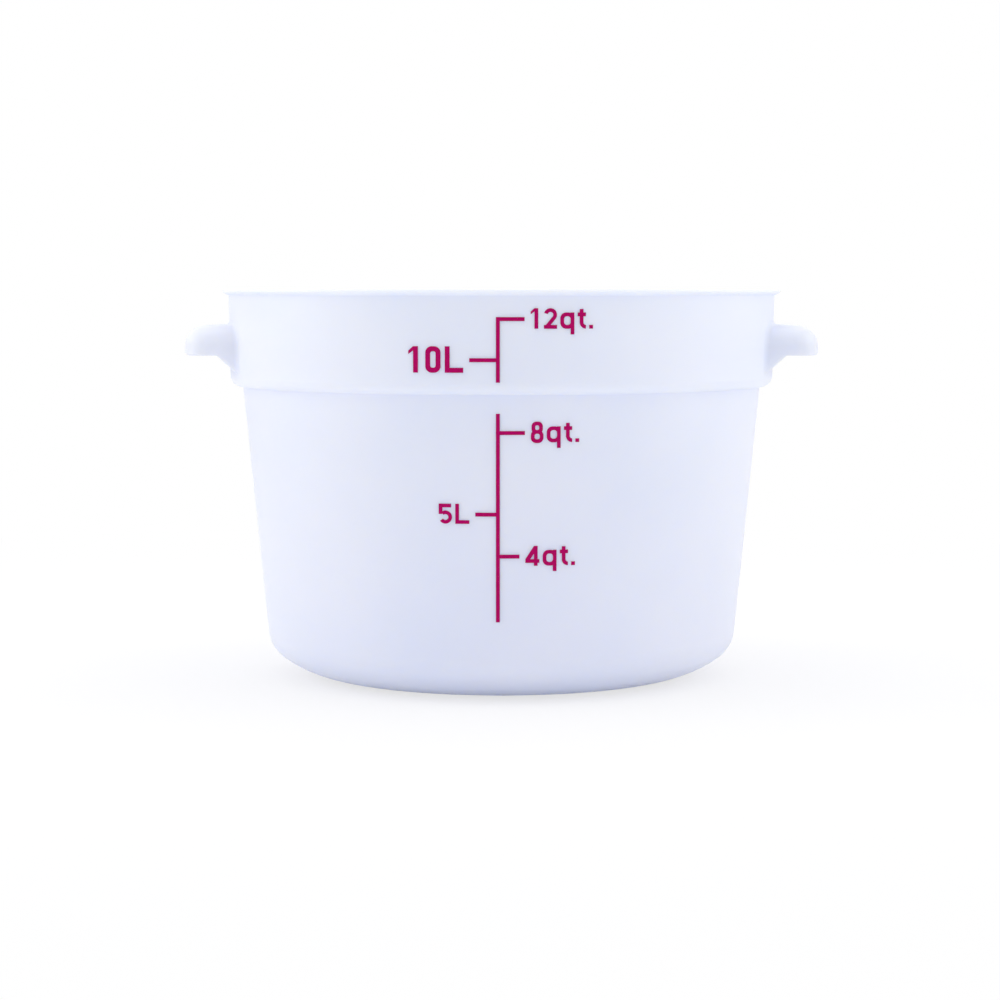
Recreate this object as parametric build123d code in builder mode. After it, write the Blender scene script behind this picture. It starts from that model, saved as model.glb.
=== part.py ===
"""Round dough proofing tub with a printed volume scale.

Millimetres, +Z up. The origin is the middle of the base, on the table. The ears
reach out along X, and the scale is printed on the side that faces -Y.
"""

import os
from math import hypot, radians, sqrt, tan

from build123d import *

# Tub body, from the table up
wall = 2.4                      # one thickness of plastic all round
recess_depth = 1.2              # the base panel is lifted clear of the table
foot_width = 8.5                # ring that the tub stands on
base_flat_radius = 86.5         # outer edge of that ring
flare_radius = 61.8             # broad arc from the foot outwards
flare_turn = 35.4               # degrees that the broad arc turns
heel_radius = 18.6              # tighter arc from there into the wall
wall_draft = 5.57               # degrees that the wall leans outwards
step_height = 160.8             # table to the underside of the collar
collar_overhang = 6.8           # collar outside the wall at the step
collar_draft = 1.0              # degrees that the collar leans outwards
collar_corner_radius = 6.0      # lower corner of the collar
collar_height = 53.2            # step to brim

# Rim flange, which a lid would snap over
rim_overhang = 3.5
rim_thickness = 3.2             # at the collar
rim_tip_thickness = 1.5         # at the edge, because the underside slopes up to it
rim_edge_radius = 0.6

# Gate mark, where the plastic entered the mould under the base
gate_radius = 5.0
gate_height = 0.6

# Ears, one at each end of the X axis
ear_reach = 24.0                # collar to the tip of the lip
ear_width = 100.0
lip_edge_radius = 0.8           # softened lower edge
ear_edge_radius = 11.0          # broad rounding over the lip
ear_corner_radius = 13.0        # corners of the ear seen from above
ear_root_radius = 3.0           # fillet between the ear and the collar
web_slope = 40.3                # degrees that the end webs rise from the collar to the lip
web_clearance = 1.6             # foot of the webs above the collar's rounded corner
touch = 0.02                    # points nearer than this count as one

# Heights of an ear, as shares of the collar's height
ear_drop_share = 0.368          # brim down to the top of the ear
lip_depth_share = 0.301         # top of the ear to the bottom of its lip

# Ink lines
ink = 0.15                      # film of ink on the plastic
scale_offset = 1.9              # the stem stands left of the middle of the front
line_width = 2.0

# Ticks, from the middle of the stem to the end
tick_12_quart = 13.4
tick_10_litre = 14.4
tick_8_quart = 13.7
tick_5_litre = 11.5
tick_4_quart = 11.0

# Ink figures
figure_gap = 3.0                # end of a tick to its figures
figure_lift = 0.3               # figures stand a little above the middle of the tick
figure_height = 10.3
large_figure_height = 13.3
pen_width = 1.9
large_pen_width = 2.5

# Heights on the collar, as shares of its straight part
upper_stem_foot_share = 0.010
quart_12_share = 0.734
litre_10_share = 0.266

# Heights on the wall, as shares of its straight part
lower_stem_foot_share = 0.141
lower_stem_head_share = 0.930
quart_8_share = 0.858
litre_5_share = 0.551
quart_4_share = 0.392

# Figures, as shares of their height
spacing_share = 0.16
bowl_share = 0.79               # height of the small letters
tail_share = 0.28               # tail of the q under the line
width_shares = {"0": 0.58, "1": 0.49, "2": 0.64, "4": 0.70, "5": 0.69, "8": 0.62,
                "q": 0.69, "t": 0.41, "L": 0.70, ".": 0.19}

brim = step_height + collar_height
collar_turn = 90 - collar_draft

# The tub's skin is drawn once, from the middle of the base to the brim, and the
# wall is that line offset inwards, so that every bend keeps its thickness.
with BuildPart() as body:
    with BuildSketch(Plane.YZ) as section:
        with BuildLine() as skin:
            foot_radius = base_flat_radius - foot_width
            panel = Line((0, recess_depth), (foot_radius - recess_depth, recess_depth))
            ramp = Line(panel @ 1, (foot_radius, 0))
            foot = Line(ramp @ 1, (base_flat_radius, 0))
            flare = JernArc(foot @ 1, foot % 1, flare_radius, flare_turn)
            heel = JernArc(flare @ 1, flare % 1, heel_radius, 90 - wall_draft - flare_turn)
            heel_top = (heel @ 1).Y
            lean = (step_height - heel_top) * tan(radians(wall_draft))
            side = Line(heel @ 1, ((heel @ 1).X + lean, step_height))
            collar_foot_radius = (side @ 1).X + collar_overhang
            corner_run = collar_corner_radius * tan(radians(collar_turn / 2))
            ledge = Line(side @ 1, (collar_foot_radius - corner_run, step_height))
            corner = JernArc(ledge @ 1, ledge % 1, collar_corner_radius, collar_turn)
            collar_radius = collar_foot_radius + collar_height * tan(radians(collar_draft))
            Line(corner @ 1, (collar_radius, brim))
            offset(amount=wall, side=Side.LEFT)
        make_face()
        with Locations((collar_radius, brim)):
            Rectangle(2 * wall, wall, align=(Align.MAX, Align.MIN), mode=Mode.SUBTRACT)
        rim_foot = brim - rim_thickness
        rim_root = collar_radius - rim_thickness * tan(radians(collar_draft))
        rim_tip = collar_radius + rim_overhang
        with BuildLine():
            Polyline((rim_root, rim_foot), (rim_tip, brim - rim_tip_thickness), (rim_tip, brim),
                     (rim_root - wall / 2, brim), (rim_root - wall / 2, rim_foot), close=True)
        make_face()
        fillet(section.vertices().group_by(Axis.X)[-1], rim_edge_radius)
    revolve(axis=Axis.Z)
    with Locations((0, 0, recess_depth)):
        Cylinder(gate_radius, gate_height, align=(Align.CENTER, Align.CENTER, Align.MAX))

wall_top_radius = collar_foot_radius - collar_overhang
ear_radius = collar_radius + ear_reach
ear_top = brim - ear_drop_share * collar_height
lip_bottom = ear_top - lip_depth_share * collar_height
web_foot = step_height + collar_corner_radius + web_clearance


def collar_radius_at(height):
    """Outer radius of the leaning collar at one height."""
    return collar_radius - (brim - height) * tan(radians(collar_draft))


web_root = sqrt(collar_radius_at(web_foot) ** 2 - (ear_width / 2) ** 2)


def ear_block(inset):
    """The ear's outer form as a solid block, drawn in by an inset all round."""
    with BuildPart() as block:
        with BuildSketch(Plane.XY.offset(web_foot)) as plan:
            Circle(ear_radius - inset)
            Rectangle(ear_radius, ear_width - 2 * inset,
                      align=(Align.MIN, Align.CENTER), mode=Mode.INTERSECT)
            fillet(plan.vertices().group_by(Axis.X)[-1], ear_corner_radius - inset)
        extrude(amount=ear_top - inset - web_foot)
        top_edges = block.faces().sort_by(Axis.Z)[-1].edges().sort_by(Axis.X)[1:]
        fillet(top_edges, ear_edge_radius - inset)
    return block.part


# An ear is a plate that turns down into a lip, closed at both ends by a web that
# slopes back to the collar. Fingers go up into it from below.
with BuildPart() as ear:
    add(ear_block(0))
    add(ear_block(wall), mode=Mode.SUBTRACT)
    with BuildSketch(Plane.XZ):
        with BuildLine():
            web_run = (lip_bottom - web_foot) / tan(radians(web_slope))
            slope = Line((web_root, web_foot), (web_root + web_run, lip_bottom))
            level = Line(slope @ 1, (ear_radius + wall, lip_bottom))
            Polyline(level @ 1, (ear_radius + wall, web_foot - wall),
                     (web_root, web_foot - wall), slope @ 0)
        make_face()
    extrude(amount=ear_width, both=True, mode=Mode.SUBTRACT)
    with Locations((0, 0, web_foot)):
        Cylinder(collar_foot_radius - wall / 4, ear_top - web_foot + wall,
                 align=(Align.CENTER, Align.CENTER, Align.MIN), mode=Mode.SUBTRACT)


def at_ear_root(edge):
    """True for an outer edge where the ear's plate or webs meet the collar."""
    middle = edge @ 0.5
    on_collar = abs(hypot(middle.X, middle.Y) - collar_radius_at(middle.Z)) < touch
    below_rim = middle.Z < ear_top + touch
    outside = max(abs((edge @ 0).Y), abs((edge @ 1).Y)) > (ear_width - wall) / 2
    at_root = outside or middle.Z > ear_top - wall / 2
    return on_collar and below_rim and at_root and edge.length > 2 * wall


def on_lip_edge(edge):
    """True for an edge round the bottom of the lip, or down the slope of a web."""
    middle = edge @ 0.5
    reach = hypot(middle.X, middle.Y) - collar_radius_at(middle.Z)
    low, high = sorted(((edge @ 0).Z, (edge @ 1).Z))
    under_ear = reach > -wall / 4 and low > web_foot - wall / 2 and high < lip_bottom + touch
    across_wall = abs(edge.length - wall) < touch
    clear_of_collar = reach > touch or middle.Z < web_foot - touch
    return under_ear and clear_of_collar and not across_wall


with BuildPart() as tub:
    add(body.part)
    add(ear.part)
    add(ear.part.mirror(Plane.YZ))
    fillet(tub.edges().filter_by(at_ear_root), ear_root_radius)
    fillet(tub.edges().filter_by(on_lip_edge), lip_edge_radius)

# Ink lies on the tub's own surface. Each print is a flat drawing of the front,
# pushed back onto a thin skin that follows the collar or the wall.
collar_foot = step_height + collar_corner_radius
collar_head = rim_foot
collar_rise = collar_head - collar_foot
wall_rise = step_height - heel_top

with BuildPart() as collar_skin:
    with Locations((0, 0, collar_foot)):
        Cone(collar_radius_at(collar_foot) + ink, collar_radius_at(collar_head) + ink,
             collar_rise, align=(Align.CENTER, Align.CENTER, Align.MIN))
        Cone(collar_radius_at(collar_foot), collar_radius_at(collar_head), collar_rise,
             align=(Align.CENTER, Align.CENTER, Align.MIN), mode=Mode.SUBTRACT)

with BuildPart() as wall_skin:
    with Locations((0, 0, heel_top)):
        Cone(wall_top_radius - lean + ink, wall_top_radius + ink, wall_rise,
             align=(Align.CENTER, Align.CENTER, Align.MIN))
        Cone(wall_top_radius - lean, wall_top_radius, wall_rise,
             align=(Align.CENTER, Align.CENTER, Align.MIN), mode=Mode.SUBTRACT)


def front(height):
    """The drawing plane through the stem of the scale, at one height."""
    return Plane(origin=(-scale_offset, 0, height), x_dir=(1, 0, 0), z_dir=(0, -1, 0))


def bar(left, foot, right, head):
    """Draws a straight stroke between two corners."""
    with Locations(((left + right) / 2, (foot + head) / 2)):
        Rectangle(right - left, head - foot)


def loop(left, foot, right, head, pen):
    """Draws an upright loop, as in a nought or the bowl of a letter."""
    corner_share = 0.42
    with Locations(((left + right) / 2, (foot + head) / 2)):
        for inset, mode in ((0, Mode.ADD), (pen, Mode.SUBTRACT)):
            across = right - left - 2 * inset
            upright = head - foot - 2 * inset
            RectangleRounded(across, upright, corner_share * min(across, upright), mode=mode)


def draw_nought(width, height, pen):
    loop(0, 0, width, height, pen)


def draw_one(width, height, pen):
    stem = 0.76 * width - pen
    bar(stem, 0, stem + pen, height)
    Polygon((0, 0.70 * height), (stem, 0.84 * height), (stem, height), (0, 0.83 * height),
            align=None)


def draw_two(width, height, pen):
    bend = (width - pen) / 2
    with BuildLine() as path:
        crown = CenterArc((width / 2, height - pen / 2 - bend), bend, 165, -200)
        Line(crown @ 1, (0.75 * pen, pen / 2))
    trace(path.line, line_width=pen)
    bar(0, 0, width, pen)


def draw_four(width, height, pen):
    stem = 0.87 * width - pen
    crossbar = 0.15 * height
    lift = crossbar + pen
    slant = 1.35 * pen
    bar(stem, 0, stem + pen, height)
    bar(0, crossbar, width, lift)
    Polygon((0, lift), (slant, lift), (stem, height - slant * (height - lift) / stem),
            (stem, height), align=None)


def draw_five(width, height, pen):
    bowl = 0.33 * height
    spine = 0.04 * width
    with BuildLine() as path:
        CenterArc((width - bowl, bowl), bowl - pen / 2, 130, -275)
    trace(path.line, line_width=pen)
    bar(spine, 0.48 * height, spine + pen, height)
    bar(spine, height - pen, 0.94 * width, height)


def draw_eight(width, height, pen):
    waist = 0.43 * height
    overshoot = 0.03 * height
    loop(0, -overshoot, width, waist + pen, pen)
    loop(0.05 * width, waist, 0.95 * width, height + overshoot, pen)


def draw_q(width, height, pen):
    loop(0, 0, width, bowl_share * height, pen)
    bar(width - pen, -tail_share * height, width, bowl_share * height)


def draw_t(width, height, pen):
    middle = 0.25 * width + pen / 2
    with BuildLine() as path:
        stem = Line((middle, 0.96 * height), (middle, width - middle + pen / 2))
        JernArc(stem @ 1, stem % 1, width - middle, 90)
    trace(path.line, line_width=pen)
    bar(0, bowl_share * height - pen, width, bowl_share * height)


def draw_l(width, height, pen):
    bar(0, 0, pen, height)
    bar(0, 0, width, pen)


def draw_stop(width, height, pen):
    bar(0, 0, width, pen)


drawings = {"0": draw_nought, "1": draw_one, "2": draw_two, "4": draw_four, "5": draw_five,
            "8": draw_eight, "q": draw_q, "t": draw_t, "L": draw_l, ".": draw_stop}


def drawn(character, height, pen):
    """One figure as a flat drawing, from its lower left corner."""
    with BuildSketch() as drawing:
        drawings[character](width_shares[character] * height, height, pen)
    return drawing.sketch


def row_width(text, height):
    """Width of a row of figures."""
    figures = sum(width_shares[character] for character in text)
    return (figures + spacing_share * (len(text) - 1)) * height


def printed(text, left, mark, height, pen, skin):
    """A row of figures as ink, from its left end, beside the tick at a mark's height."""
    figures = [drawn(character, height, pen) for character in text]
    with BuildPart() as label:
        with BuildSketch(front(mark + figure_lift)):
            for character, figure in zip(text, figures):
                with Locations((left, -height / 2)):
                    add(figure)
                left += (width_shares[character] + spacing_share) * height
        extrude(amount=collar_radius + wall)
        add(skin.part, mode=Mode.INTERSECT)
    return label.part


quart_12 = collar_foot + quart_12_share * collar_rise
litre_10 = collar_foot + litre_10_share * collar_rise
quart_8 = heel_top + quart_8_share * wall_rise
litre_5 = heel_top + litre_5_share * wall_rise
quart_4 = heel_top + quart_4_share * wall_rise
half_line = line_width / 2

with BuildPart() as scale_upper:
    with BuildSketch(front(0)):
        bar(-half_line, collar_foot + upper_stem_foot_share * collar_rise,
            half_line, quart_12 + half_line)
        bar(0, quart_12 - half_line, tick_12_quart, quart_12 + half_line)
        bar(-tick_10_litre, litre_10 - half_line, 0, litre_10 + half_line)
    extrude(amount=collar_radius + wall)
    add(collar_skin.part, mode=Mode.INTERSECT)

with BuildPart() as scale_lower:
    with BuildSketch(front(0)):
        bar(-half_line, heel_top + lower_stem_foot_share * wall_rise,
            half_line, heel_top + lower_stem_head_share * wall_rise)
        bar(0, quart_8 - half_line, tick_8_quart, quart_8 + half_line)
        bar(-tick_5_litre, litre_5 - half_line, 0, litre_5 + half_line)
        bar(0, quart_4 - half_line, tick_4_quart, quart_4 + half_line)
    extrude(amount=collar_radius + wall)
    add(wall_skin.part, mode=Mode.INTERSECT)

left_of_10 = -tick_10_litre - figure_gap - row_width("10L", large_figure_height)
left_of_5 = -tick_5_litre - figure_gap - row_width("5L", figure_height)

pieces = {
    "tub": tub.part,
    "scale_upper": scale_upper.part,
    "scale_lower": scale_lower.part,
    "label_12_quart": printed("12qt.", tick_12_quart + figure_gap, quart_12,
                              figure_height, pen_width, collar_skin),
    "label_10_litre": printed("10L", left_of_10, litre_10,
                              large_figure_height, large_pen_width, collar_skin),
    "label_8_quart": printed("8qt.", tick_8_quart + figure_gap, quart_8,
                             figure_height, pen_width, wall_skin),
    "label_5_litre": printed("5L", left_of_5, litre_5,
                             figure_height, pen_width, wall_skin),
    "label_4_quart": printed("4qt.", tick_4_quart + figure_gap, quart_4,
                             figure_height, pen_width, wall_skin),
}

os.makedirs("parts", exist_ok=True)
for name, piece in pieces.items():
    piece.label = name
    export_step(piece, f"parts/{name}.step")
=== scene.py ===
"""Dough proofing tub: looks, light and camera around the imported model, in metres."""

from math import atan2, cos, pi, radians, sin, sqrt, tan

import bmesh
import bpy
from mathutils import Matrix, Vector


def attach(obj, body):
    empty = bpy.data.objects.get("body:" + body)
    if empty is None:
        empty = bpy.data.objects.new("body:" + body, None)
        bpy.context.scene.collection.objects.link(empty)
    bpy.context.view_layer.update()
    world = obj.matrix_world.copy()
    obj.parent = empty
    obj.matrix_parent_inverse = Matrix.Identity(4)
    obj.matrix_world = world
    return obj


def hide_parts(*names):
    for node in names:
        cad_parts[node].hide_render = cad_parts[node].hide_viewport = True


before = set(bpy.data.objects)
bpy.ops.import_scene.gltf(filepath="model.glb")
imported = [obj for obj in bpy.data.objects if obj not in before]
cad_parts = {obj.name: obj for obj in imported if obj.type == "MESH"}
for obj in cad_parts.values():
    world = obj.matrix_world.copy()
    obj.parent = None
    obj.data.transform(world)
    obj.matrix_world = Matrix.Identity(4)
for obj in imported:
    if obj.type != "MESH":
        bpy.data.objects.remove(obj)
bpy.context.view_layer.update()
scene = bpy.context.scene

# Body of the tub: floor, rounded heel, leaning wall, step, collar and rim flange, all in one
# shot of natural polypropylene from an injection mould. The mould was turned on a lathe, so
# the body is one section swung round the middle.
MM = 0.001                  # sizes are in millimetres, but for what stands in the studio
WALL = 2.4
PANEL_LIFT = 1.2            # the base panel stands clear of the table
GATE_RADIUS = 5.0           # mark where the plastic entered the mould
GATE_HEIGHT = 0.6
FOOT_INNER_RADIUS = 78.0
FOOT_OUTER_RADIUS = 86.5
FLARE_RADIUS = 61.8         # slow curve from the foot ring up to the heel
FLARE_TURN = radians(35.4)
HEEL_RADIUS = 18.6          # quick curve from there into the wall
WALL_DRAFT = radians(5.57)
STEP_HEIGHT = 160.8
COLLAR_OVERHANG = 6.8
COLLAR_DRAFT = radians(1.0)
COLLAR_CORNER_RADIUS = 6.0
BRIM = 214.0
RIM_THICKNESS = 3.2
RIM_TIP_THICKNESS = 1.5
RIM_OVERHANG = 3.5
RIM_EDGE_RADIUS = 0.6
SHARP = radians(30)         # folds over this stay crisp
FACETS_ROUND = 192
FACETS_IN_A_BEND = 10
GUIDE_RADIUS = 100.0        # of the circle that the section is swung along
SEAM_GAP = 0.001            # points nearer than this become one


def add_node(tree, kind, settings=None, links=None):
    """Adds a node, gives it its settings and socket values, and links its inputs."""
    node = tree.nodes.new(kind)
    for name, value in (settings or {}).items():
        if isinstance(name, str) and hasattr(node, name):
            setattr(node, name, value)
        else:
            node.inputs[name].default_value = value
    for name, socket in (links or {}).items():
        tree.links.new(socket, node.inputs[name])
    return node


def meeting(start, lean_a, end, lean_b):
    """Where a line from one point at one angle crosses a line through another."""
    ax, ay = cos(lean_a), sin(lean_a)
    bx, by = cos(lean_b), sin(lean_b)
    along = ((end[0] - start[0]) * by - (end[1] - start[1]) * bx) / (ax * by - ay * bx)
    return start[0] + along * ax, start[1] + along * ay


def inner_skin(corners):
    """The corners one wall inside a skin's corners, with the bends that keep its thickness."""
    leans = [atan2(b[1] - a[1], b[0] - a[0]) for a, b in zip(corners, corners[1:])]
    sides = [(a[0] - WALL * sin(lean), a[1] + WALL * cos(lean)) for a, lean in zip(corners, leans)]
    inside = [(sides[0][0], sides[0][1], 0)]
    folds = zip(sides, sides[1:], leans, leans[1:], corners[1:])
    for before, after, lean_a, lean_b, corner in folds:
        bend = corner[2] - WALL if lean_b > lean_a else corner[2] + WALL
        inside.append((*meeting(before, lean_a, after, lean_b), max(bend, 0)))
    end, lean = corners[-1], leans[-1]
    inside.append((end[0] - WALL / cos(lean - pi / 2), end[1], 0))
    return inside


# Corners of the outer skin, each with its radius, its height and the bend that rounds it
heel_lean = pi / 2 - WALL_DRAFT
flare_end = FLARE_RADIUS * tan(FLARE_TURN / 2) + HEEL_RADIUS * tan((heel_lean - FLARE_TURN) / 2)
flare_corner = FOOT_OUTER_RADIUS + FLARE_RADIUS * tan(FLARE_TURN / 2)
heel_corner = flare_corner + flare_end * cos(FLARE_TURN), flare_end * sin(FLARE_TURN)
wall_top = heel_corner[0] + (STEP_HEIGHT - heel_corner[1]) * tan(WALL_DRAFT)


def collar_radius(height):
    """Outer radius of the leaning collar at one height."""
    return wall_top + COLLAR_OVERHANG + (height - STEP_HEIGHT) * tan(COLLAR_DRAFT)


skin = [(0, PANEL_LIFT, 0),
        (FOOT_INNER_RADIUS - PANEL_LIFT, PANEL_LIFT, 0),
        (FOOT_INNER_RADIUS, 0, 0),
        (flare_corner, 0, FLARE_RADIUS),
        (*heel_corner, HEEL_RADIUS),
        (wall_top, STEP_HEIGHT, 0),
        (collar_radius(STEP_HEIGHT), STEP_HEIGHT, COLLAR_CORNER_RADIUS),
        (collar_radius(BRIM), BRIM, 0)]
gate = [(0, PANEL_LIFT - GATE_HEIGHT, 0),
        (GATE_RADIUS, PANEL_LIFT - GATE_HEIGHT, 0),
        (GATE_RADIUS, PANEL_LIFT, 0)]
flange_foot = BRIM - RIM_THICKNESS
flange_radius = collar_radius(BRIM) + RIM_OVERHANG
flange = [(collar_radius(flange_foot), flange_foot, 0),
          (flange_radius, BRIM - RIM_TIP_THICKNESS, RIM_EDGE_RADIUS),
          (flange_radius, BRIM, RIM_EDGE_RADIUS)]
section = inner_skin(skin) + (gate + skin[1:-1] + flange)[::-1]

section_mesh = bpy.data.meshes.new("tub_section")
section_mesh.from_pydata([(radius * MM, height * MM, 0) for radius, height, _ in section],
                         [(i, i + 1) for i in range(len(section) - 1)], [])
section_mesh.attributes.new("bend", "FLOAT", "POINT")
section_mesh.attributes["bend"].data.foreach_set("value", [bend * MM for _, _, bend in section])
turned = bpy.data.objects.new("moulded_tub", section_mesh)
scene.collection.objects.link(turned)

lathe = bpy.data.node_groups.new("lathe", "GeometryNodeTree")
sockets = {}
for name, kind in (("Section", "NodeSocketGeometry"), ("Facets round", "NodeSocketInt"),
                   ("Facets in a bend", "NodeSocketInt"), ("Guide radius", "NodeSocketFloat"),
                   ("Seam gap", "NodeSocketFloat"), ("Sharp angle", "NodeSocketFloat"),
                   ("Plastic", "NodeSocketMaterial")):
    sockets[name] = lathe.interface.new_socket(name, in_out="INPUT", socket_type=kind).identifier
lathe.interface.new_socket("Body", in_out="OUTPUT", socket_type="NodeSocketGeometry")
given = add_node(lathe, "NodeGroupInput").outputs
bend = add_node(lathe, "GeometryNodeInputNamedAttribute", {"data_type": "FLOAT", "Name": "bend"})
line = add_node(lathe, "GeometryNodeMeshToCurve", links={"Mesh": given["Section"]})
rounded = add_node(lathe, "GeometryNodeFilletCurve", {"mode": "POLY", "Limit Radius": False},
                   {"Curve": line.outputs[0], "Count": given["Facets in a bend"],
                    "Radius": bend.outputs[0]})
ring = add_node(lathe, "GeometryNodeCurvePrimitiveCircle",
                links={"Resolution": given["Facets round"], "Radius": given["Guide radius"]})
away = add_node(lathe, "ShaderNodeMath", {"operation": "SUBTRACT", 0: 0.0},
                {1: given["Guide radius"]})
offset = add_node(lathe, "ShaderNodeCombineXYZ", {}, {"X": away.outputs[0]})
placed = add_node(lathe, "GeometryNodeTransform", {"Rotation": (pi, 0, 0)},
                  {"Geometry": rounded.outputs[0], "Translation": offset.outputs[0]})
swung = add_node(lathe, "GeometryNodeCurveToMesh", {}, {"Curve": ring.outputs[0],
                                                        "Profile Curve": placed.outputs[0]})
closed = add_node(lathe, "GeometryNodeMergeByDistance", {},
                  {"Geometry": swung.outputs[0], "Distance": given["Seam gap"]})
fold = add_node(lathe, "GeometryNodeInputMeshEdgeAngle")
soft = add_node(lathe, "FunctionNodeCompare", {"operation": "LESS_THAN"},
                {"A": fold.outputs[0], "B": given["Sharp angle"]})
smooth = add_node(lathe, "GeometryNodeSetShadeSmooth", {"domain": "EDGE"},
                  {"Geometry": closed.outputs[0], "Shade Smooth": soft.outputs[0]})
whole = add_node(lathe, "GeometryNodeRealizeInstances", {}, {"Geometry": smooth.outputs[0]})
dressed = add_node(lathe, "GeometryNodeSetMaterial", {},
                   {"Geometry": whole.outputs[0], "Material": given["Plastic"]})
add_node(lathe, "NodeGroupOutput", {}, {0: dressed.outputs[0]})


def linear(hex_colour):
    """An sRGB hex colour as the linear RGBA that shaders take."""
    parts = [int(hex_colour[i:i + 2], 16) / 255 for i in (0, 2, 4)]
    return [p / 12.92 if p <= 0.04045 else ((p + 0.055) / 1.055) ** 2.4 for p in parts] + [1.0]


def new_material(name):
    """A material with an empty node tree."""
    material = bpy.data.materials.new(name)
    material.use_nodes = True
    material.node_tree.nodes.clear()
    return material


# Natural polypropylene, moulded against spark-eroded steel: milky and faintly blue, so soft to
# light that a wall of it glows, with a satin skin. Melt that cooled as it flowed leaves clouds
# of 70 mm, and nested tubs leave fine upright rubs. The eroded grain is really 0.1 mm, and is
# drawn at 0.8 mm so that it shows.
CLOUD = 70.0
RUB = 1.6
RUB_LENGTH = 30.0
RUB_DEPTH = 0.6             # as a share of the grain's height
GRAIN = 0.8
GRAIN_HEIGHT = 0.06
NOISE_LOW, NOISE_HIGH = 0.3, 0.7    # nearly all of a noise lies between these
CLOUD_TINTS = "DDE2FC", "E2E6FE"
SATIN_LOW, SATIN_HIGH = 0.42, 0.50  # roughness over the clouds
RUB_DULLNESS = 0.16         # roughness that a rub adds
GLOW_DEPTHS = 4.5, 5.0, 6.5     # how far red, green and blue light wander in the wall
milky_plastic = new_material("polypropylene_natural_moulded")
tree = milky_plastic.node_tree
place = add_node(tree, "ShaderNodeTexCoord").outputs["Object"]
cloud = add_node(tree, "ShaderNodeTexNoise",
                 {"Scale": 1 / (CLOUD * MM), "Detail": 2.0, "Roughness": 0.4}, {"Vector": place})
tint = add_node(tree, "ShaderNodeValToRGB", {}, {"Fac": cloud.outputs["Fac"]})
for stop, position, colour in zip(tint.color_ramp.elements, (NOISE_LOW, NOISE_HIGH), CLOUD_TINTS):
    stop.position, stop.color = position, linear(colour)

# Rubs: noise drawn out upwards, of which only the brightest streaks count
upright = add_node(tree, "ShaderNodeMapping",
                   {"Scale": [1 / (size * MM) for size in (RUB, RUB, RUB_LENGTH)]},
                   {"Vector": place})
streak = add_node(tree, "ShaderNodeTexNoise", {"Scale": 1.0, "Detail": 3.0, "Roughness": 0.6},
                  {"Vector": upright.outputs[0]})
rubs = add_node(tree, "ShaderNodeMapRange", {"From Min": 0.60, "From Max": 0.78},
                {"Value": streak.outputs["Fac"]})
grain = add_node(tree, "ShaderNodeTexNoise",
                 {"Scale": 1 / (GRAIN * MM), "Detail": 2.0, "Roughness": 0.5}, {"Vector": place})
relief = add_node(tree, "ShaderNodeMath", {"operation": "MULTIPLY_ADD", 1: -RUB_DEPTH},
                  {0: rubs.outputs[0], 2: grain.outputs["Fac"]})
skin_relief = add_node(tree, "ShaderNodeBump", {"Strength": 0.25, "Distance": GRAIN_HEIGHT * MM},
                       {"Height": relief.outputs[0]})
satin = add_node(tree, "ShaderNodeMapRange",
                 {"From Min": NOISE_LOW, "From Max": NOISE_HIGH,
                  "To Min": SATIN_LOW, "To Max": SATIN_HIGH}, {"Value": cloud.outputs["Fac"]})
rubbed = add_node(tree, "ShaderNodeMath", {"operation": "MULTIPLY_ADD", 1: RUB_DULLNESS},
                  {0: rubs.outputs[0], 2: satin.outputs[0]})
shine = add_node(tree, "ShaderNodeBsdfPrincipled",
                 {"IOR": 1.49, "Subsurface Weight": 1.0, "Subsurface Scale": 1.7,
                  "Subsurface Radius": [depth * MM for depth in GLOW_DEPTHS]},
                 {"Base Color": tint.outputs["Color"], "Roughness": rubbed.outputs[0],
                  "Normal": skin_relief.outputs[0]})
add_node(tree, "ShaderNodeOutputMaterial", {}, {"Surface": shine.outputs["BSDF"]})


def baked(piece):
    """Turns a piece's modifiers into its plain mesh."""
    graph = bpy.context.evaluated_depsgraph_get()
    mesh = bpy.data.meshes.new_from_object(piece.evaluated_get(graph), depsgraph=graph)
    piece.modifiers.clear()
    piece.data = mesh


turning = turned.modifiers.new("lathe", "NODES")
turning.node_group = lathe
for name, value in (("Facets round", FACETS_ROUND), ("Facets in a bend", FACETS_IN_A_BEND),
                    ("Guide radius", GUIDE_RADIUS * MM), ("Seam gap", SEAM_GAP * MM),
                    ("Sharp angle", SHARP), ("Plastic", milky_plastic)):
    turning[sockets[name]] = value
baked(turned)

# Ears: two hollow handles, moulded with the collar. Each is a plate that turns down into a
# lip and is closed at both ends by a sloping web, and fingers go up into it from below.
EAR_REACH = 24.0            # beyond the collar at the brim
EAR_DROP = 19.6             # from the brim down to the flat top
LIP_DEPTH = 16.0
WEB_CLEARANCE = 1.6         # from the collar's lower rounding up to the web
WEB_SLOPE = radians(40.3)
EAR_HALF_WIDTH = 50.0
EAR_EDGE_RADIUS = 11.0      # broad rounding over the lip
EAR_CORNER_RADIUS = 13.0    # corners seen from above
EAR_ROOT_RADIUS = 3.0
LIP_EDGE_RADIUS = 0.8
SUNK = 0.8                  # the ear runs on into the collar's wall
EDGE_FACETS = 10            # facets in the broad rounding
LIP_FACETS = 4
ROOT_FACETS = 8
SLOPE_FACETS = 4
CORNER_FACETS = 12
FRONT_FACETS = 10
SAME_PLACE = 5              # decimals of a millimetre that tell two points apart

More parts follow.
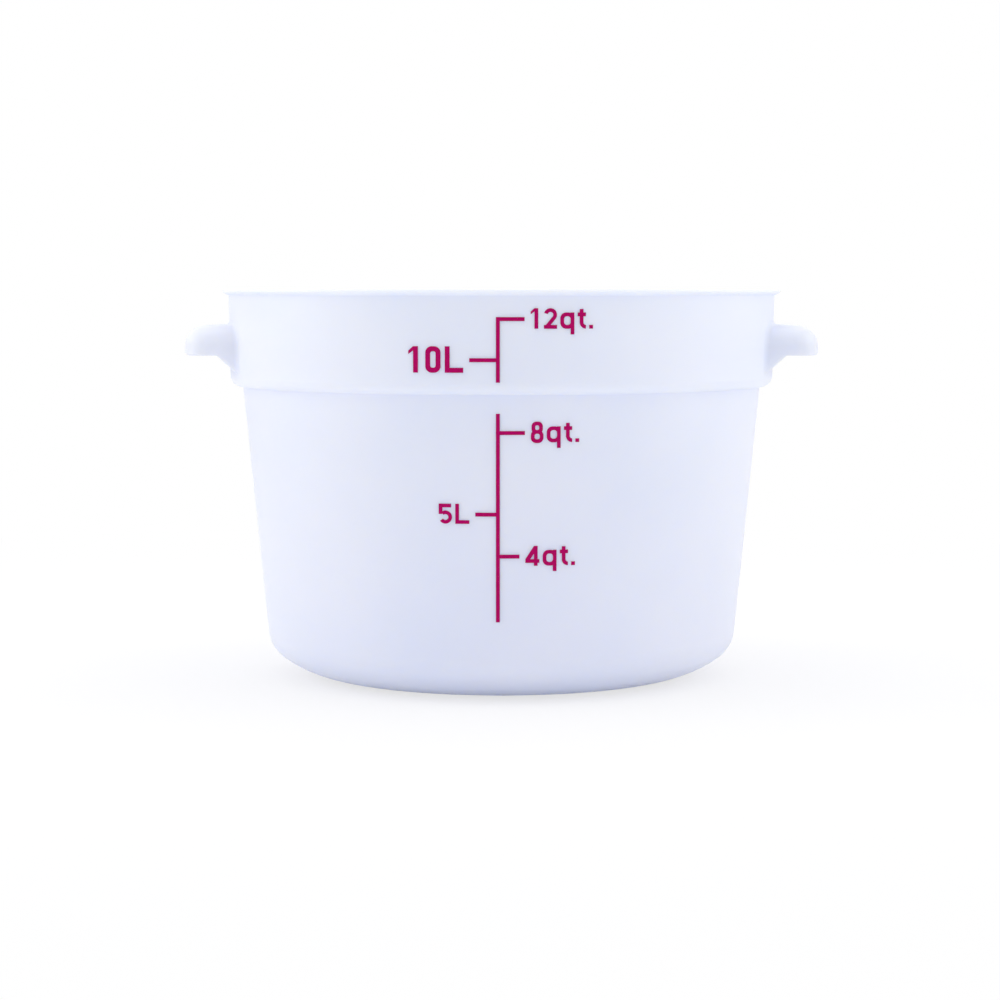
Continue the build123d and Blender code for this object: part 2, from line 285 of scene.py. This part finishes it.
EAR_RADIUS = collar_radius(BRIM) + EAR_REACH
EAR_TOP = BRIM - EAR_DROP
LIP_BOTTOM = EAR_TOP - LIP_DEPTH
WEB_FOOT = STEP_HEIGHT + COLLAR_CORNER_RADIUS + WEB_CLEARANCE
corner_y = EAR_HALF_WIDTH - EAR_CORNER_RADIUS
corner_x = sqrt((EAR_RADIUS - EAR_CORNER_RADIUS) ** 2 - corner_y ** 2)
corner_turn = atan2(corner_y, corner_x)


def turns(start, end, steps):
    """Angles from one to another in equal steps."""
    return [start + (end - start) * i / steps for i in range(steps + 1)]


def collar_x(y, height):
    """How far out along X the collar's skin lies, beside the middle plane."""
    return sqrt(collar_radius(height) ** 2 - y * y)


def ear_point(station, inset, height):
    """A point at one station round an ear, by its inset from the ear's outline."""
    side, part, where = station
    if part == "web":
        y = EAR_HALF_WIDTH - inset
        room = corner_x - EAR_ROOT_RADIUS - collar_x(y, height)
        full_room = corner_x - EAR_ROOT_RADIUS - collar_x(EAR_HALF_WIDTH, height)
        beyond_root = max(where - EAR_ROOT_RADIUS, 0) * room / full_room
        return collar_x(y, height) + min(where, EAR_ROOT_RADIUS) + beyond_root, side * y, height
    middle_x, middle_y = (corner_x, corner_y) if part == "corner" else (0, 0)
    reach = (EAR_CORNER_RADIUS if part == "corner" else EAR_RADIUS) - inset
    return middle_x + reach * cos(where), side * (middle_y + reach * sin(where)), height


def ear_wall(station):
    """Points round the wall of an ear: from its ceiling down the inside, under the lip and up
    the outside to its flat top. Where it meets the collar its outside swells into a fillet."""
    _, part, where = station
    bottom, swell = LIP_BOTTOM, 0
    if part == "web":
        bottom = min(LIP_BOTTOM, WEB_FOOT + where * tan(WEB_SLOPE))
        into_root = min(max(1 - where / EAR_ROOT_RADIUS, 0), 1)
        swell = EAR_ROOT_RADIUS * (1 - sqrt(1 - into_root ** 2))
    shoulder = EAR_TOP - EAR_EDGE_RADIUS
    broad, inner = EAR_EDGE_RADIUS + swell, EAR_EDGE_RADIUS - WALL
    edge = LIP_EDGE_RADIUS
    profile = [(EAR_EDGE_RADIUS - inner * cos(a), shoulder + inner * sin(a))
               for a in turns(pi / 2, 0, EDGE_FACETS)]
    profile += [(WALL - edge + edge * cos(a), bottom + edge - edge * sin(a))
                for a in turns(0, pi / 2, LIP_FACETS)]
    profile += [(edge - (edge + swell) * sin(a), bottom + edge - edge * cos(a))
                for a in turns(0, pi / 2, LIP_FACETS)]
    profile += [(EAR_EDGE_RADIUS - broad * cos(a), shoulder + broad * sin(a))
                for a in turns(0, pi / 2, EDGE_FACETS)]
    return [ear_point(station, inset, height) for inset, height in profile]


# Stations round half an ear: along the web by the distance out from the collar, then round
# the corner and along the front by the angle. The other half is the same, turned over.
slope_end = (LIP_BOTTOM - WEB_FOOT) / tan(WEB_SLOPE)
web_end = corner_x - collar_x(EAR_HALF_WIDTH, LIP_BOTTOM)
half = [("web", -SUNK)]
half += [("web", EAR_ROOT_RADIUS * (1 - sin(a))) for a in turns(pi / 2, 0, ROOT_FACETS)]
half += [("web", where) for where in turns(EAR_ROOT_RADIUS, slope_end, SLOPE_FACETS)[1:]]
half += [("web", (slope_end + web_end) / 2)]
plate_rows = len(half) + CORNER_FACETS // 2
half += [("corner", where) for where in turns(pi / 2, corner_turn, CORNER_FACETS)]
half += [("front", where) for where in turns(corner_turn, 0, FRONT_FACETS)[1:]]
stations = [(-1, *place) for place in half] + [(1, *place) for place in half[-2::-1]]


def plate_grid(rims):
    """Places over a flat top or ceiling whose edge is given, from inside the collar outwards."""
    left, front, right = rims[:plate_rows + 1], rims[plate_rows:-plate_rows], rims[::-1]
    across = [(place[1] - front[0][1]) / (front[-1][1] - front[0][1]) for place in front]
    grid = []
    for a, b in zip(left, right):
        out = (a[0] - left[0][0]) / (left[-1][0] - left[0][0])
        row = []
        for place, share in zip(front, across):
            y = a[1] + (b[1] - a[1]) * share
            root = collar_x(left[0][1] + (right[0][1] - left[0][1]) * share, a[2]) - SUNK
            edge_x = left[0][0] + (front[0][0] - left[0][0]) * out
            row.append((root + (place[0] - root) * out + a[0] - edge_x, y, a[2]))
        grid.append([a] + row[1:-1] + [b])
    return grid


def strips(rows):
    """Four-cornered faces between rows of corners."""
    return [(a[i], a[i + 1], b[i + 1], b[i])
            for a, b in zip(rows, rows[1:]) for i in range(len(a) - 1)]


def ear(name, side):
    """One closed ear, on the side of the tub that is given as 1 or -1."""
    places = []
    numbers = {}

    def number(place):
        key = tuple(round(value, SAME_PLACE) for value in place)
        if key not in numbers:
            numbers[key] = len(places)
            places.append((side * place[0] * MM, place[1] * MM, place[2] * MM))
        return numbers[key]

    walls = [ear_wall(station) for station in stations]
    ceiling = plate_grid([wall[0] for wall in walls])
    top = plate_grid([wall[-1] for wall in walls])
    faces = []
    for rows in (walls, ceiling, top, (ceiling[0], top[0])):
        faces += strips([[number(place) for place in row] for row in rows])
    faces += [[number(place) for place in wall] for wall in (walls[0], walls[-1])]
    mesh = bpy.data.meshes.new(name)
    mesh.from_pydata(places, [], faces)
    shell = bmesh.new()
    shell.from_mesh(mesh)
    bmesh.ops.recalc_face_normals(shell, faces=shell.faces)
    shell.to_mesh(mesh)
    shell.free()
    mesh.materials.append(milky_plastic)
    piece = bpy.data.objects.new(name, mesh)
    scene.collection.objects.link(piece)
    return piece


ears = [ear("ear_right", 1), ear("ear_left", -1)]
for piece in ears:
    joining = turned.modifiers.new(piece.name, "BOOLEAN")
    joining.operation, joining.solver, joining.object = "UNION", "EXACT", piece
baked(turned)
for piece in ears:
    bpy.data.objects.remove(piece)
turned.data.shade_smooth()
turned.data.set_sharp_from_angle(angle=SHARP)
shading = turned.modifiers.new("even_shading", "WEIGHTED_NORMAL")
shading.keep_sharp = True
baked(turned)
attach(turned, "root")
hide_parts("tub")

# Printed scale: crimson ink pushed through a screen onto the finished tub, in one pass on the
# collar and one on the wall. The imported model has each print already, so it gets its ink here.
THREADS = 1.4
INK_HEIGHT = 0.03
INK_TINTS = "A60054", "BA0064"

# Pigmented screen ink, dried in the air: dull, and a little uneven in colour and thickness
# where the screen's threads lay. Their mesh is really 0.1 mm, and is drawn at 1.4 mm so that
# it shows.
crimson_ink = new_material("crimson_screen_ink")
tree = crimson_ink.node_tree
place = add_node(tree, "ShaderNodeTexCoord").outputs["Object"]
spots = add_node(tree, "ShaderNodeTexNoise",
                 {"Scale": 1 / (THREADS * MM), "Detail": 3.0, "Roughness": 0.6}, {"Vector": place})
tint = add_node(tree, "ShaderNodeValToRGB", {}, {"Fac": spots.outputs["Fac"]})
for stop, position, colour in zip(tint.color_ramp.elements, (NOISE_LOW, NOISE_HIGH), INK_TINTS):
    stop.position, stop.color = position, linear(colour)
dulled = add_node(tree, "ShaderNodeMapRange",
                  {"From Min": NOISE_LOW, "From Max": NOISE_HIGH, "To Min": 0.62, "To Max": 0.78},
                  {"Value": spots.outputs["Fac"]})
ink_relief = add_node(tree, "ShaderNodeBump", {"Strength": 0.3, "Distance": INK_HEIGHT * MM},
                      {"Height": spots.outputs["Fac"]})
shine = add_node(tree, "ShaderNodeBsdfPrincipled", {"Specular IOR Level": 0.08},
                 {"Base Color": tint.outputs["Color"], "Roughness": dulled.outputs[0],
                  "Normal": ink_relief.outputs[0]})
add_node(tree, "ShaderNodeOutputMaterial", {}, {"Surface": shine.outputs["BSDF"]})
for name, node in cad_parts.items():
    if name != "tub":
        node.data.materials.clear()
        node.data.materials.append(crimson_ink)

# Floor: a sweep of white paper. The camera sees it almost as bright as the plain white wall
# behind it, but near the tub a part of its own shading stays, and with it the soft shadow.
NEAR_GLOW = 0.7             # how much of the paper is plain white near the tub
NEAR = 300.0                # out to here no more of it is
FAR = 900.0                 # from here on all of it is
PAPER_GAP = 0.1             # a hair of air under the foot, where two faces would coincide
PAPER_SIDE, PAPER_FRONT, PAPER_BACK = 6, -4, 8      # metres


def looked_at(tree):
    """1 for a ray that shows a thing to the camera, straight or in a gloss or glass, else 0."""
    ray = add_node(tree, "ShaderNodeLightPath").outputs
    gloss = add_node(tree, "ShaderNodeMath", {"operation": "MAXIMUM"},
                     {0: ray["Is Camera Ray"], 1: ray["Is Glossy Ray"]})
    return add_node(tree, "ShaderNodeMath", {"operation": "MAXIMUM"},
                    {0: gloss.outputs[0], 1: ray["Is Transmission Ray"]}).outputs[0]


floor_mesh = bpy.data.meshes.new("paper_sweep")
floor_mesh.from_pydata([(-PAPER_SIDE, PAPER_FRONT, -PAPER_GAP * MM),
                        (PAPER_SIDE, PAPER_FRONT, -PAPER_GAP * MM),
                        (PAPER_SIDE, PAPER_BACK, -PAPER_GAP * MM),
                        (-PAPER_SIDE, PAPER_BACK, -PAPER_GAP * MM)], [], [(0, 1, 2, 3)])
floor = bpy.data.objects.new("paper_sweep", floor_mesh)
scene.collection.objects.link(floor)
paper = new_material("white_paper_sweep")
tree = paper.node_tree
dull = add_node(tree, "ShaderNodeBsdfDiffuse", {"Color": linear("F8F8FA")})
bright = add_node(tree, "ShaderNodeEmission", {"Color": linear("FFFFFF"), "Strength": 1.0})
place = add_node(tree, "ShaderNodeTexCoord").outputs["Object"]
away = add_node(tree, "ShaderNodeVectorMath", {"operation": "LENGTH"}, {0: place})
fade = add_node(tree, "ShaderNodeMapRange",
                {"interpolation_type": "SMOOTHSTEP", "From Min": NEAR * MM, "From Max": FAR * MM,
                 "To Min": NEAR_GLOW, "To Max": 1.0}, {"Value": away.outputs["Value"]})
share = add_node(tree, "ShaderNodeMath", {"operation": "MULTIPLY"},
                 {0: fade.outputs[0], 1: looked_at(tree)})
mixed = add_node(tree, "ShaderNodeMixShader", {},
                 {"Fac": share.outputs[0], 1: dull.outputs[0], 2: bright.outputs[0]})
add_node(tree, "ShaderNodeOutputMaterial", {}, {"Surface": mixed.outputs[0]})
floor_mesh.materials.append(paper)


# Lights: two broad softboxes at the sides, the left one a little stronger, and one overhead.
# They leave the middle of the front a little darker than its edges. All places are in metres.
def softbox(name, place, aim, width, height, watts):
    """A rectangular lamp at a place, turned towards a point."""
    lamp = bpy.data.lights.new(name, "AREA")
    lamp.shape = "RECTANGLE"
    lamp.size, lamp.size_y, lamp.energy = width, height, watts
    stand = bpy.data.objects.new(name, lamp)
    stand.location = place
    stand.rotation_euler = (Vector(aim) - Vector(place)).to_track_quat("-Z", "Y").to_euler()
    scene.collection.objects.link(stand)


softbox("left_box", place=(-1.7, 0.1, 0.6), aim=(0, 0, 0.15), width=1.0, height=1.4, watts=7.5)
softbox("right_box", place=(1.7, 0.1, 0.6), aim=(0, 0, 0.15), width=1.0, height=1.4, watts=6.1)
softbox("top_box", place=(0, 0.1, 1.6), aim=(0, 0, 0), width=1.4, height=1.4, watts=6.6)

# Studio: pale walls all round, which light the tub from every side. The camera sees them as
# plain white, and so do gloss and glass.
STUDIO_LEVEL = 0.795
world = bpy.data.worlds.new("studio")
world.use_nodes = True
scene.world = world
tree = world.node_tree
tree.nodes.clear()
level = add_node(tree, "ShaderNodeMapRange", {"To Min": STUDIO_LEVEL, "To Max": 1.0},
                 {"Value": looked_at(tree)})
walls = add_node(tree, "ShaderNodeBackground", {"Color": linear("FFFFFF")},
                 {"Strength": level.outputs[0]})
add_node(tree, "ShaderNodeOutputWorld", {}, {"Surface": walls.outputs[0]})

# Camera: a long lens at the height of the rim, a little more than a metre and a half away and
# dipped by a few degrees.
FOCAL_LENGTH, SENSOR_WIDTH = 97.2, 36
CAMERA_PLACE = (-0.00083, -1.5056, 0.2125)     # metres
DIP = 4.40                  # degrees
lens = bpy.data.cameras.new("camera")
lens.lens, lens.sensor_width = FOCAL_LENGTH, SENSOR_WIDTH
camera = bpy.data.objects.new("camera", lens)
camera.location = CAMERA_PLACE
camera.rotation_euler = (radians(90 - DIP), 0, 0)
scene.collection.objects.link(camera)
scene.camera = camera
scene.view_settings.view_transform = "Standard"
